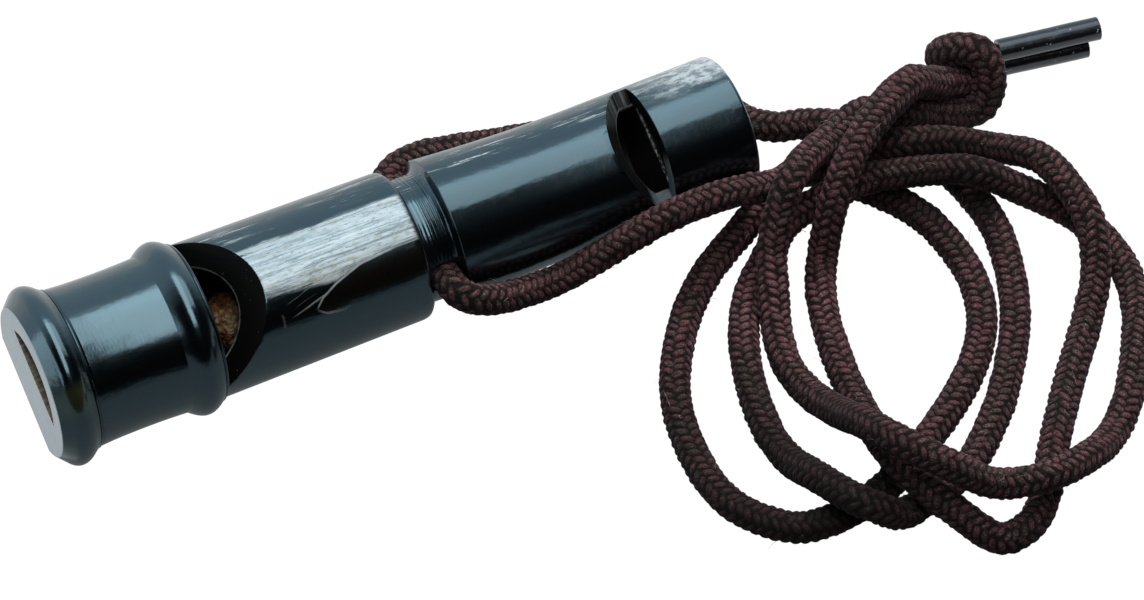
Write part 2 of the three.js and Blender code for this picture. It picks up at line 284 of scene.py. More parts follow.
def pick_edges(piece, wanted):
    """Selects, in edit mode, the edges whose two faces have the wanted pair of materials."""
    pick(piece)
    mesh = piece.data
    faces_of = {}
    for face in mesh.polygons:
        for key in face.edge_keys:
            faces_of.setdefault(key, []).append(face.material_index)
    bpy.ops.object.mode_set(mode="EDIT")
    bpy.ops.mesh.select_mode(type="EDGE")
    bpy.ops.mesh.select_all(action="DESELECT")
    bpy.ops.object.mode_set(mode="OBJECT")
    for edge in mesh.edges:
        edge.select = tuple(sorted(faces_of.get(edge.key, ()))) in wanted
    bpy.ops.object.mode_set(mode="EDIT")


# --- finishes

def whistle_coordinates(finish):
    """Places along and across the whistle in millimetres, and the angle in degrees from its top to its front."""
    back = WHISTLE_PLACE.inverted()
    sockets = {"Vector": finish.object_place(), "Location": back.translation, "Rotation": back.to_euler()}
    place = finish.add("ShaderNodeMapping", {"vector_type": "POINT"}, sockets)
    x, y, z = finish.parts(place)
    angle = finish.add("ShaderNodeMath", {"operation": "ARCTAN2"}, {0: y * -1, 1: z})
    return x / MM, y / MM, z / MM, angle * (180 / math.pi)


def polished_horn():
    horn = Finish("polished_horn")
    u, y, z, angle = whistle_coordinates(horn)
    line_start, line_span, line_top = 27, 20, 100

    def grain(along, across, detail, rough, distortion=0.0, shift=0):
        """Noise with its own scale along the whistle and across it."""
        return horn.grain(horn.vector(u * along, y * across, z * across + shift), 1.0, detail, rough, distortion)

    def line(*stops):
        """An angle that changes along the near body, from stops of (u, angle)."""
        grey = [((place - line_start) / line_span, (value / line_top,) * 3) for place, value in stops]
        return horn.add("ShaderNodeValToRGB", {"stops": grey}, {0: (u - line_start) / line_span}) * line_top

    fibres = grain(0.1, 2.6, 6, 0.75, 0.3)
    fray = grain(0.16, 1.1, 5, 0.7)
    mottle = grain(0.7, 1.4, 5, 0.65)
    speck = grain(1.3, 4.2, 4, 0.7)
    fissure = grain(0.13, 1.7, 4, 0.65, shift=5)
    frayed = fray - 0.5

    # a dark island low on the near body, with a pale rim above it and a pale tip
    island_top = line((32.2, 57), (33.2, 50.5), (35.2, 44), (38.5, 37), (43.2, 34), (46.8, 34.5))
    island_foot = line((32.2, 57), (33.2, 61.5), (35.2, 63.5), (38.2, 61), (43, 59.5), (46.8, 59.5))
    inside = horn.ease(angle - island_top, -0.5, 0.5) * horn.ease(island_foot - angle, -0.5, 0.5)
    inside = inside * horn.band(u, (32.1, 32.5), (46.2, 45.8))
    rim = horn.ease(abs(angle - island_top + 0.9), 1.3, 0.3) * horn.band(u, (32, 32.6), (46, 41))
    tip = horn.ease(abs(angle - island_foot - 0.6), 1.4, 0.4) * horn.band(u, (32, 32.6), (36.5, 33.5))

    # a frayed pale patch above the island, with fine strands at its foot
    patch_foot = line((27, 35), (31, 37.5), (35, 41), (38.5, 36.5), (43.2, 33.5), (46.8, 33))
    jagged = angle + frayed * 9
    patch = horn.ease(jagged, -6.5, -3.5) * horn.ease(jagged - patch_foot, 2.5, -2.5)
    patch = patch * horn.ease(u + frayed * 10, 20, 26) * horn.ease(u, 46.3, 45.6)
    strand = horn.grain(horn.vector(u * 0.1, angle * 0.42 + u * 0.75, 3.0), 1.0, 3, 0.6)
    strands = horn.ease(angle - patch_foot, -3, 0) * horn.ease(angle - island_top, 0, -2)
    strands = horn.ease(strand, 0.56, 0.64) * strands * horn.band(u, (28.5, 31), (39, 36))

    # one scratch, pale fibres on top, and a whitened far end
    scratch = horn.ease(abs(u - 28 + frayed * 0.8), 0.22, 0.05) * horn.band(angle, (50, 53), (63, 60))
    tops = horn.ease(fibres, 0.5, 0.66) * horn.ease(fray, 0.46, 0.58)
    tops = tops * horn.band(angle, (-60, -36), (-9, -18)) * horn.ease(u, 21, 24)
    end = horn.ease(u + frayed * 16, 75, 86) * horn.ease(angle + frayed * 24, -1, -12)
    end = end * horn.ease(angle, -75, -48) * (0.3 + horn.ease(mottle, 0.42, 0.62) * 0.7)

    pale = patch * (0.28 + horn.ease(fibres, 0.36, 0.6) * 0.72)
    pale = pale * (0.45 + horn.ease(u, 21, 28) * 0.55) * (1 - inside)
    pale = pale * (1 - horn.ease(speck, 0.52, 0.66) * 0.55) * (1 - horn.ease(fissure, 0.55, 0.64) * 0.6)
    for mark, strength in ((strands, 0.5), (rim, 0.6), (tip, 0.35), (scratch, 0.12), (tops, 0.9), (end, 0.85)):
        pale = pale.most(mark * strength)
    ivory = horn.mix(horn.ease(mottle, 0.51, 0.66), (0.41, 0.435, 0.435), (0.3, 0.26, 0.18))
    ivory = horn.mix(horn.ease(jagged, 22, 0) * 0.4, ivory, (0.13, 0.155, 0.17))
    ivory = horn.mix(horn.ease(u, 46, 50) * 0.6, ivory, (0.36, 0.38, 0.38))
    ivory = horn.mix(horn.ease(u, 76, 86), ivory, (0.33, 0.35, 0.355))
    olive = horn.ease(u, 5.0, 2.8) * horn.band(angle, (40, 50), (72, 58))
    black = horn.mix(olive * 0.8, (0.0009, 0.0011, 0.0013), (0.022, 0.024, 0.01))
    black = horn.mix(inside * 0.75, black, (0.004, 0.0024, 0.001))
    # the end face is painted a pale blue-grey, a painted reflection of the white floor and room
    painted_end_reflection = horn.ease(u, 0.09, 0.03)
    black = horn.mix(painted_end_reflection * 0.85, black, (0.35, 0.43, 0.48))

    turning = grain(3.4, 0.14, 3, 0.6)
    wear = grain(2.3, 0.75, 4, 0.65)
    waves = grain(0.12, 0.3, 3, 0.6)
    grit = grain(3.6, 3.6, 1, 0.5)
    return horn.surface({
        "Base Color": horn.mix(pale, black, ivory), "Roughness": 0.15 + wear * 0.07 + pale * 0.2,
        "Normal": horn.bump(turning * 3 + wear * 9 + waves * 70 + grit * 4 + fibres * pale * 20, 1e-6),
        "IOR": 1.65, "Specular IOR Level": 0.95, "Specular Tint": (0.56, 0.86, 1.0, 1),
    })


def cut_horn():
    horn = Finish("cut_horn")
    u, _, _, angle = whistle_coordinates(horn)
    place = horn.object_place()
    scratches = horn.grain(horn.add("ShaderNodeMapping", {}, {"Vector": place, "Scale": (900, 2600, 2600)}), 1.0, 3)
    dust = horn.grain(place, 2600, 1)
    # paler blue-grey at the front and low part of the far cut, by its wall
    paler_front_low = horn.ease(angle + scratches * 10, 42, 58) * horn.ease(u, 74.5, 75.5)
    grooves = horn.grain(horn.vector(u * 1.7, 0.0, 0.0), 1.0, 2)
    combed = horn.ease(angle, 4, -14) * horn.ease(u, 66, 70) * horn.ease(grooves, 0.44, 0.6)
    colour = horn.mix(horn.ease(dust, 0.77, 0.8) * 0.6, (0.0014, 0.0014, 0.0013), (0.2, 0.2, 0.19))
    colour = horn.mix(paler_front_low * (0.3 + scratches * 0.5), colour, (0.22, 0.26, 0.28))
    colour = horn.mix(combed * 0.8, colour, (0.05, 0.055, 0.053))
    return horn.surface({
        "Base Color": colour, "Roughness": 0.45 + scratches * 0.25, "Normal": horn.bump(scratches, 1.5e-5),
        "Specular IOR Level": 0.09,
    })


def bored_horn():
    horn = Finish("bored_horn")
    u, y, z, _ = whistle_coordinates(horn)
    rings = horn.grain(horn.vector(u * 5, y * 0.1, z * 0.1), 1.0, 2)
    colour = horn.mix(rings, (0.0015, 0.0014, 0.0013), (0.004, 0.0036, 0.003))
    return horn.surface({
        "Base Color": colour, "Roughness": 0.45 + rings * 0.2, "Normal": horn.bump(rings, 1e-5),
        "Specular IOR Level": 0.3,
    })


def worn_edge_and_highlight():
    horn = Finish("worn_edge_and_highlight")
    chips = horn.grain(horn.object_place(), 1500, 4, 0.7)
    # pale chips on the bore's rim: worn horn, and partly a painted highlight along the rim
    colour = horn.mix(horn.ease(chips, 0.35, 0.65), (0.03, 0.03, 0.028), (0.15, 0.148, 0.138))
    return horn.surface({"Base Color": colour, "Roughness": 0.45 + chips * 0.2, "Normal": horn.bump(chips, 3e-5)})


def plug_horn():
    horn = Finish("plug_horn")
    u, y, z, _ = whistle_coordinates(horn)
    fibres = horn.grain(horn.vector(u * 0.15, y * 2.2, z * 2.2), 1.0, 4, 0.6)
    # the plug's pale fibres near the mouth turn near black further in, as painted shade inside the windway
    lit_mouth_end = horn.ease(u, 4, 0.3)
    dark = horn.mix(lit_mouth_end, (0.002, 0.0018, 0.0015), (0.12, 0.1, 0.065))
    light = horn.mix(lit_mouth_end, (0.008, 0.007, 0.005), (0.42, 0.37, 0.26))
    colour = horn.mix(horn.ease(fibres, 0.35, 0.75), dark, light)
    chips = horn.grain(horn.object_place(), 2200, 3, 0.7)
    height = z * math.cos(CUT_LEAN) - y * math.sin(CUT_LEAN)
    rear_edge = horn.band(u, (60, 70), (77.95, 77.7)) * horn.ease(height, 3.75, 4.05)
    colour = horn.mix(rear_edge * horn.ease(chips, 0.44, 0.58), colour, (0.4, 0.4, 0.38))
    return horn.surface({"Base Color": colour, "Roughness": 0.4 + fibres * 0.2, "Normal": horn.bump(fibres, 2e-5)})


def raw_cork():
    cork = Finish("raw_cork")
    place = cork.object_place()
    cells = cork.add("ShaderNodeTexVoronoi", {"feature": "F1"}, {"Vector": place, "Scale": 1500.0})
    grain = cork.grain(place, 900, 5, 0.7)
    flake = cork.grain(place, 350, 3, 0.6)
    ramp = {"stops": [(0.4, (0.012, 0.006, 0.003)), (0.5, (0.15, 0.062, 0.022)), (0.6, (0.3, 0.21, 0.12))]}
    colour = cork.add("ShaderNodeValToRGB", ramp, {0: flake * 0.7 + grain * 0.3})
    colour = cork.mix(cork.ease(cells, 0.5, 0.25) * 0.25, colour, (0.04, 0.02, 0.01))
    return cork.surface({
        "Base Color": colour, "Roughness": 0.85 + grain * 0.1, "Normal": cork.bump(grain + cells * 0.5, 1.5e-4),
        "Specular IOR Level": 0.2,
    })


# painted shade and painted light on the cord, as soft round spots: x, y and reach in millimetres, and a share
PAINTED_SHADE_SPOTS = [(30, -47, 19, 0.8), (25, -35, 14, 0.5), (66, -16, 13, 0.62)]
PAINTED_LIGHT_SPOTS = [(48, -10, 11, 0.7), (40, -20, 12, 0.55)]
PAINTED_SPOT_HEIGHT = 4


def braid_yarn():
    yarn = Finish("braid_yarn")
    place = yarn.object_place()

    def painted_spots(spots):
        """The greatest share of the soft round spots at a place."""
        greatest = None
        for x, y, reach, share in spots:
            middle = Vector((x, y, PAINTED_SPOT_HEIGHT)) * MM
            away = yarn.add("ShaderNodeVectorMath", {"operation": "DISTANCE"}, {0: place, 1: middle}, out=1)
            mark = yarn.ease(away, reach * MM, 0.25 * reach * MM) * share
            greatest = mark if greatest is None else greatest.most(mark)
        return greatest

    across, along, _ = yarn.parts(yarn.add("ShaderNodeUVMap", {"uv_map": "along_yarn"}))
    tone = yarn.add("ShaderNodeAttribute", {"attribute_name": "yarn_tone"}, out=2)
    edge = yarn.add("ShaderNodeAttribute", {"attribute_name": "yarn_edge"}, out=2)
    fibres = yarn.grain(yarn.vector(across * 9 + along * 2.6, along * 0.5, tone * 40), 1.0, 3, 0.6)
    stitch = yarn.grain(place, 900, 2)
    patch = yarn.grain(place, 130, 2)
    fleck = yarn.grain(place, 5200, 2, 0.7)
    maroon = yarn.ease(stitch * 0.45 + patch * 0.35 + tone * 0.2, 0.36, 0.62)
    colour = yarn.mix(maroon, (0.03, 0.0235, 0.0175), (0.073, 0.0275, 0.029))
    # painted light: the cord is lighter in two soft spots
    colour = yarn.mix(painted_spots(PAINTED_LIGHT_SPOTS), colour, (0.16, 0.068, 0.07))
    colour = yarn.mix(yarn.ease(fleck, 0.52, 0.68) * 0.7, colour, (0.21, 0.112, 0.128))
    colour = yarn.mix(yarn.ease(fleck, 0.48, 0.36) * 0.75, colour, (0.009, 0.006, 0.005))
    # painted shade: the cord is darker in three soft spots
    colour = yarn.mix(painted_spots(PAINTED_SHADE_SPOTS), colour, (0.004, 0.004, 0.0026))
    colour = yarn.mix(yarn.ease(fibres, 0.6, 0.3) * 0.6, colour, (0.008, 0.005, 0.0043))
    # painted shade: the stitches darken to near black towards their rims, in the crevices between them
    colour = yarn.mix(yarn.ease(edge, 0.3, 0.95) * 0.92, colour, (0.002, 0.0015, 0.001))
    return yarn.surface({
        "Base Color": colour, "Roughness": 0.75 + fibres * 0.2, "Normal": yarn.bump(fibres + fleck * 0.8, 7e-5),
        "Specular IOR Level": 0.14, "Sheen Weight": 0.06, "Sheen Roughness": 0.4, "Sheen Tint": (1.0, 0.66, 0.8, 1),
    })


def loose_fibre():
    fibre = Finish("loose_fibre")
    shade = fibre.grain(fibre.object_place(), 90, 1)
    colour = fibre.mix(shade, (0.1, 0.075, 0.07), (0.36, 0.31, 0.29))
    return fibre.surface({"Base Color": colour, "Roughness": 0.6})


def shrunk_plastic():
    plastic = Finish("shrunk_plastic")
    place = plastic.object_place()
    ripple = plastic.grain(place, 420, 2)
    scuff = plastic.grain(place, 1600, 3)
    dust = plastic.grain(place, 2300, 1)
    colour = plastic.mix(plastic.ease(scuff, 0.62, 0.8) * 0.4, (0.006, 0.0065, 0.0075), (0.05, 0.052, 0.056))
    colour = plastic.mix(plastic.ease(dust, 0.74, 0.78) * 0.7, colour, (0.42, 0.45, 0.46))
    return plastic.surface({
        "Base Color": colour, "Roughness": 0.16 + scuff * 0.14, "Normal": plastic.bump(ripple + scuff * 0.2, 3e-5),
        "IOR": 1.52, "Specular IOR Level": 0.7, "Specular Tint": (0.78, 0.9, 1.0, 1),
    })


# --- horn body

POLISHED, CUT, BORED, EDGE = range(4)


def horn_rows():
    """The profile as rows of (u, radius): front bore, outside, rear bore."""
    def curve(points, step):
        return [tuple(p) for p in smooth_line(points, step)]

    rows = [(FRONT_BORE_END, 0.0), (FRONT_BORE_END, FRONT_BORE / 2), (FRONT_BORE_END, FRONT_BORE)]
    rows += [(u, FRONT_BORE) for u in np.arange(41, 0.5, -2)]
    # mouthpiece bead, with a fine groove behind it
    rows += [(0, FRONT_BORE), (0, 7.4), (0, 8.4), (0, 8.92), (0.03, 8.99), (0.1, 9.06)]
    rows += curve([
        (0.2, 9.16), (0.62, 9.6), (1.05, 10.05), (1.3, 10.32), (1.7, 10.6), (2.2, 10.74), (2.8, 10.68),
        (3.4, 10.4), (4.0, 9.94), (4.4, 9.66),
    ], 0.14)
    rows += [(4.5, 9.52), (4.58, 9.6), (4.7, 9.58), (4.8, 9.42), (4.88, 9.37), (4.98, 9.41)]
    # barrel, then the second bead with its grooves
    rows += curve([(5.05, 9.44), (7, 9.32), (10.5, 9.25), (13.5, 9.28), (15.5, 9.36)], 0.5)
    rows += [(15.8 + 4.5 * t, 9.3 - 0.05 * t + 1.175 * math.sin(math.pi * t)) for t in np.linspace(0.02, 0.9, 30)]
    rows += [(19.88, 9.6), (19.93, 9.5), (20.0, 9.58), (20.08, 9.56)]
    rows += [(20.13, 9.42), (20.2, 9.46), (20.28, 9.4), (20.34, 9.26)]
    # near body and its round end
    rows += curve([(20.5, 9.248), (33, 9.11), (45.4, 8.975)], 0.8)
    rows += curve([(45.6, 8.97), (46.15, 8.85), (46.5, 8.5), (46.7, 8.0)], 0.15)
    # neck, with turning marks that grow stronger along it
    neck_start, neck_radius, mark_pitch, mark_height = 46.76, 7.45, 0.47, 0.035
    rows += [(46.7, 7.5), (neck_start, neck_radius)]
    for i in range(1, 44):
        u = neck_start + i * 0.068
        strength = min(1, max(0.25, (u - 47.3) / 0.8))
        rows.append((u, neck_radius + mark_height * strength * math.sin(TURN * (u - neck_start) / mark_pitch)))
    rows += curve([(49.75, 7.46), (50.2, 7.8), (50.5, 8.36), (50.6, 8.75)], 0.12)
    # far body and its rim
    rows += curve([
        (50.68, 8.85), (53, 8.69), (56, 8.5), (62, 8.22), (68, 8.15), (74, 8.22), (80, 8.3), (86, 8.39), (87.9, 8.42),
    ], 0.8)
    rows += curve([(88.1, 8.41), (88.42, 8.22), (88.58, 7.95), (WHISTLE_LENGTH, 7.7)], 0.1)
    rows += [(WHISTLE_LENGTH, 7.0), (WHISTLE_LENGTH, REAR_BORE)]
    rows += [(u, REAR_BORE) for u in np.arange(87, 54.5, -2)]
    rows += [(REAR_BORE_START, REAR_BORE), (REAR_BORE_START, REAR_BORE / 2), (REAR_BORE_START, 0.0)]
    return rows


def lip_cutter():
    """What is cut from under the mouthpiece for the lower lip."""
    front, back, below = -1, 20, -30
    corners = [(front, -front * LIP_SLOPE - LIP_DEPTH), (front, below), (back, below)]
    return across_cutter(corners + [(back, -back * LIP_SLOPE - LIP_DEPTH)])


def near_window_cutter():
    """A wall on the mouthpiece's side and a ramp that rises away from it."""
    reach = 12
    top = NEAR_FLOOR + reach * (NEAR_BODY_RADIUS - NEAR_FLOOR) / (NEAR_RAMP_TOP - NEAR_WALL)
    return across_cutter([(NEAR_WALL, NEAR_FLOOR), (NEAR_WALL + reach, top), (NEAR_WALL, top)])


def far_window_cutter():
    """The same at the far end, the other way round and with a short flat floor."""
    reach = 8
    ramp_foot = FAR_WALL - FAR_FLOOR_LENGTH
    top = FAR_FLOOR + reach * (FAR_BODY_RADIUS - FAR_FLOOR) / (ramp_foot - FAR_RAMP_TOP)
    return across_cutter([(FAR_WALL, FAR_FLOOR), (FAR_WALL, top), (ramp_foot - reach, top), (ramp_foot, FAR_FLOOR)])


def hole_drill():
    """The drill for the cord's hole through the neck."""
    clear_selection()
    bpy.ops.mesh.primitive_cylinder_add(vertices=64, radius=HOLE_RADIUS * MM, depth=30 * MM)
    drill = bpy.context.object
    seat(drill, Matrix.Translation((HOLE_U * MM, 0, 0)) @ Matrix.Rotation(math.pi / 2 - HOLE_RISE, 4, "X"))
    return drill


def horn_body():
    polished, cut_face, bored, edge = polished_horn(), cut_horn(), bored_horn(), worn_edge_and_highlight()
    piece = turned("horn_body_turned", horn_rows(), 224)
    for material in (polished, cut_face, bored, edge):
        piece.data.materials.append(material)
    for face in piece.data.polygons:
        u, y, z = face.center / MM
        bore = (FRONT_BORE if u < HOLE_U else REAR_BORE) + 0.02
        if math.hypot(y, z) < bore and 0.05 < u < WHISTLE_LENGTH - 0.05:
            face.material_index = BORED
    cut(piece, near_window_cutter(), cut_face)
    cut(piece, far_window_cutter(), cut_face)
    cut(piece, lip_cutter(), polished)
    cut(piece, hole_drill(), bored)
    return piece


def soften_cuts(piece):
    """Rounds the rims of the windows; the bore's rim is coloured pale, as chipped wear and partly a painted
    highlight.
    """
    for pairs, width, material in (({(CUT, BORED)}, 0.4, EDGE), ({(POLISHED, CUT)}, 0.1, -1)):
        pick_edges(piece, pairs)
        bpy.ops.mesh.bevel(offset=width * MM, segments=2, affect="EDGES", clamp_overlap=False, material=material)
        bpy.ops.mesh.select_all(action="SELECT")
        bpy.ops.mesh.remove_doubles(threshold=2e-6)
        bpy.ops.object.mode_set(mode="OBJECT")


body = horn_body()
soften_cuts(body)
pick(body)
bpy.ops.object.shade_smooth_by_angle(angle=math.radians(20))
seat(body, WHISTLE_PLACE)
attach(body, "whistle")
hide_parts("horn_body")


# --- plugs

def plug(node, name, ends, radius, heights, facets):
    """A round plug cut flat on top for the windway; its blown end is polished flush with the horn."""
    (u0, u1), (low, high) = ends, heights
    at_mouth = u0 == 0
    rows = [(u0, 0.0), (u0, radius * 0.5), (u0, radius)]
    rows += [(u, radius) for u in np.linspace(u0, u1, 10)[1:-1]]
    rows += [(u1, radius), (u1, radius * 0.5), (u1, 0.0)]
    piece = turned(name, rows, 160)
    for material in facets:
        piece.data.materials.append(material)
    blown_end = u0 if at_mouth else u1
    for face in piece.data.polygons:
        face.material_index = 0 if abs(face.center.x / MM - blown_end) < 0.02 else 1
    slope = (high - low) / (u1 - u0)
    above = [(u0 - 1, low - slope), (u1 + 1, high + slope), (u1 + 1, 20), (u0 - 1, 20)]
    cut(piece, across_cutter(above), facets[1])
    if at_mouth:
        cut(piece, lip_cutter(), facets[0])
    pick(piece)
    bpy.ops.object.shade_smooth_by_angle(angle=math.radians(30))
    seat(piece, WHISTLE_PLACE)
    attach(piece, "whistle")
    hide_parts(node)


plug_facets = (bpy.data.materials["polished_horn"], plug_horn())
plug("front_plug", "front_plug_fipple", (0, 20.3), FRONT_BORE, (2.4, 4.3), plug_facets)
plug("rear_plug", "rear_plug_fipple", (77.6, WHISTLE_LENGTH), REAR_BORE, (4.2, 2.4), plug_facets)


# --- cork pea

def cork_pea():
    low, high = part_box("cork_pea")
    middle = (low + high) / 2
    radius = (high.x - low.x) / 2
    clear_selection()
    bpy.ops.mesh.primitive_ico_sphere_add(subdivisions=6, radius=radius)
    pea = bpy.context.object
    pea.name = "cork_pea_rough"
    crack_width = 0.16
    for point in pea.data.vertices:
        way = point.co.normalized()
        lumps = noise.fractal(way * 3.1, 0.8, 2.0, 4)
        near, far = noise.voronoi(way * 4.3)[0][:2]
        crack = max(0.0, 1 - (far - near) / crack_width)
        fray = noise.fractal(way * 17, 0.6, 2.1, 3)
        worn_off = 0.24 + 0.24 * lumps + 0.55 * crack ** 2 + 0.14 * fray
        point.co = way * (radius - worn_off * MM)
    pea.data.materials.append(raw_cork())
    pick(pea)
    bpy.ops.object.shade_smooth()
    seat(pea, Matrix.Translation(middle))
    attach(pea, "pea")
    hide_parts("cork_pea")


cork_pea()


# --- cord

CORD_DIAMETER = 3.8
TABLE_GAP, LAYER_GAP = 0.15, 0.4
HOLE_MIDDLE = np.array([4.299, 0, 9.559])
HOLE_REACHES = (0.15, 2.6, 5.2, 7.6)
COIL_MIDDLE = (48.8, -30.1)

# nearly the same route as the solids, in millimetres; rows of the loops are sixteenths of a turn, radius and layer
FRONT_LEG = [
    (4.3, -9.4, 11.3), (5.2, -10.8, 10.9), (7.2, -11.4, 9.9), (10.2, -11.1, 8.3), (14, -10.6, 7.1),
    (18, -10.3, 6.7), (22, -10.3, 7.8), (26, -10.4, 9.3), (30, -10.5, 10.5), (34, -10.6, 11.0),
    (38, -10.8, 11.1), (42, -10.8, 10.1), (45.2, -10.4, 8.5), (48.5, -8.8, 6.6), (51.6, -8.5, 4.9),
    (54.5, -9.9, 2.7),
]
BACK_LEG = [
    (4.3, 9.3, 7.7), (5.2, 10.8, 7.6), (7.2, 11.9, 7.6), (10.2, 12.2, 7.4), (14, 11.8, 6.8),
    (18, 11.5, 5.7), (23, 11.4, 4.2), (28, 11.3, 2.8), (33, 11.2, 2.0), (38, 11, 2.05),
    (42, 10.5, 2.05), (45.2, 9, 2.05), (47.4, 6.2, 2.05), (49, 3.2, 2.05), (51.6, 1.2, 2.05), (55.2, 0, 2.05),
]
FRONT_LOOPS = [
    (-3, 20.5, 0), (-2, 17, 0), (-1, 14.2, 0), (0, 12.7, 0), (1, 11.8, 0), (2, 11.6, 0),
    (3, 12.3, 0), (4, 14.6, 0), (5, 20.5, 0), (5.5, 25, 0), (6, 29, 0), (6.5, 30, 0),
    (7, 29.4, 0), (8, 26.2, 0), (9, 23.2, 0), (10, 21.6, 0), (11, 21.2, 0), (12, 23.9, 0),
    (12.5, 25.8, 0.05), (13, 24.3, 0.56), (13.5, 23.8, 1.08), (14, 25.6, 0.97), (14.5, 27.9, 0.68),
    (15, 28.5, 1.14), (15.5, 27.9, 1.24), (16, 27.4, 1.08), (16.5, 26, 0.45), (17, 24.1, 0.02),
    (18, 22.7, 0), (19, 25.6, 0), (19.5, 29.6, 0), (19.8, 31.6, 0), (20.1, 31.8, 0.05),
    (20.5, 28.1, 0.84), (21, 22.4, 1.3), (21.5, 13.6, 0.25), (22, 10, 0), (23, 7.1, 0),
    (24, 6, 0), (25, 6, 0), (26, 6.8, 0), (27, 9, 0.05), (27.5, 10.9, 0.3), (28, 13.1, 1.4),
    (28.5, 16.2, 2.22), (29, 21.3, 2.47), (29.5, 29.7, 2.0),
]
BACK_LOOPS = [
    (-3, 29.2, 0), (-2.5, 26.6, 0), (-2, 24.8, 0), (-1, 20.5, 0), (0, 17.2, 0), (1, 15.7, 0),
    (2, 15.6, 0), (3, 17.4, 0), (4, 21.4, 0), (4.5, 23.3, 0), (5, 26.4, 0.28),
    (5.25, 27.4, 0.9), (5.5, 27.1, 1.16),
    (6, 24.1, 0.78), (6.5, 21.5, 0.12), (7, 19.7, 0), (8, 16.9, 0), (9, 15.8, 0), (10, 15.9, 0),
    (11, 16.6, 0.1), (11.5, 17.7, 0.32), (12, 17.5, 0.67), (12.5, 17.3, 1.01), (13, 18.4, 1.07),
    (13.5, 19.3, 1.05), (14, 20.9, 1.02), (14.5, 22.2, 1.2), (15, 24.7, 0.62), (15.5, 28, 0.04),
    (16, 29.5, 0), (16.5, 30.1, 0), (17, 29.9, 0), (18, 29.8, 0), (18.5, 30, 0.03), (19, 30.2, 0.72),
    (19.5, 29.8, 1.14), (20, 27.6, 1.2), (20.5, 25.7, 2.12), (21, 22.9, 2.48), (21.5, 19, 1.98),
    (22, 15.6, 1.03), (22.5, 13.6, 0.46), (23, 12.6, 0.14), (24, 12, 0), (25, 12, 0.15),
    (26, 13.1, 0.67), (26.5, 14.5, 1.07), (27, 15.8, 1.86), (27.5, 17.2, 2.44), (28, 19.4, 2.26),
    (28.5, 22.3, 1.84), (29, 26.2, 1.65), (29.5, 28.4, 1.0),
]
FRONT_KNOT = [
    (67.9, -4.4, 7.85), (70.1, -4.0, 6.05), (72.2, -3.9, 4.85), (74.1, -3.8, 4.25), (76.6, -2.4, 4.6),
    (79.2, -2.1, 4.9),
]
BACK_KNOT = [
    (67.2, -6.1, 4.15), (69.75, -6.3, 2.8), (72.1, -6.5, 2.15), (74.0, -6.9, 2.35), (75.2, -6.7, 3.7),
    (75.9, -6.0, 5.6), (76.1, -4.8, 7.3), (75.6, -3.6, 8.3), (74.7, -2.5, 8.2), (73.8, -1.6, 7.6),
    (73.1, -0.6, 6.4), (73.0, 0.4, 4.7), (73.9, 0.8, 3.2), (75.5, 0.2, 2.3), (77.3, -1.2, 2.0), (79.1, -2.0, 2.0),
]
UPPER_SLEEVE_END = (91.7, -4.1, 4.6)
LOWER_SLEEVE_END = (90.5, -3.8, 1.45)

# the braid: eight columns of stitches round the cord, which lean one way and the other in turn
STITCH_COLUMNS = 8
STITCH_PITCH = 1.05
STITCH_RISE = 1.0
STITCH_RADIUS = 1.645
STITCH_SWELL = 0.07
STITCH_HALF_WIDTH = 0.51
STITCH_DEPTH = 0.27
STITCH_LENGTHWISE = np.array([-0.5, -0.32, -0.11, 0.11, 0.32, 0.5])
STITCH_SECTION = np.array([(1, -0.45), (0.72, 0.3), (0.27, 0.72), (-0.27, 0.72), (-0.72, 0.3), (-1, -0.45)])
CORE_RADIUS, CORE_SIDES = 1.77, 12
ROUTE_STEP = 0.3

# the cord's fullness by the distance to its end: full in the knot, narrow where it enters the sleeve
END_DISTANCES, END_SIZES = [0.5, 6, 22, 30], [0.66, 1.13, 1.13, 1]

FIBRE_COUNT, FIBRE_RINGS, FIBRE_SIDES = 170, 9, 3
FIBRE_START = 1.84

SLEEVE_RADIUS, SLEEVE_STEPS, SLEEVE_MOUTH_DEPTH = 1.4, 44, 1.4


def coil_point(row):
    sixteenths, radius, layer = row
    angle = -sixteenths * math.pi / 8
    height = TABLE_GAP + CORD_DIAMETER / 2 + layer * (CORD_DIAMETER + LAYER_GAP)
    return (COIL_MIDDLE[0] + radius * math.cos(angle), COIL_MIDDLE[1] + radius * math.sin(angle), height)


def hole_point(side, reach):
    """A point in the neck's hole, that far from its middle towards one side."""
    return HOLE_MIDDLE + side * reach * np.array([0, -math.cos(HOLE_RISE), math.sin(HOLE_RISE)])


def cord_route(side, leg, loops, knot):
    """One half of the cord, from the middle of its hole to the end of the knot, in millimetres."""
    rows = [hole_point(side, reach) for reach in HOLE_REACHES]
    rows += leg + [coil_point(row) for row in loops] + knot
    return smooth_line(rows, ROUTE_STEP)


def unit(rows):
    return rows / np.linalg.norm(rows, axis=1, keepdims=True)


def carried_frames(path):
    """Directions along, up and aside at each point, turning as little as they can."""
    ahead = unit(np.gradient(path, axis=0))
    up = np.zeros_like(path)
    first = np.cross(ahead[0], (1.0, 0, 0))
    up[0] = first / np.linalg.norm(first)
    for i in range(len(path) - 1):
        step = path[i + 1] - path[i]
        span = step @ step
        carried = up[i] - step * (2 / span) * (step @ up[i])
        turned_on = ahead[i] - step * (2 / span) * (step @ ahead[i])
        rest = ahead[i + 1] - turned_on
        width = rest @ rest
        up[i + 1] = carried - rest * (2 / width) * (rest @ carried) if width > 1e-18 else carried
    return ahead, unit(up), unit(np.cross(ahead, up))


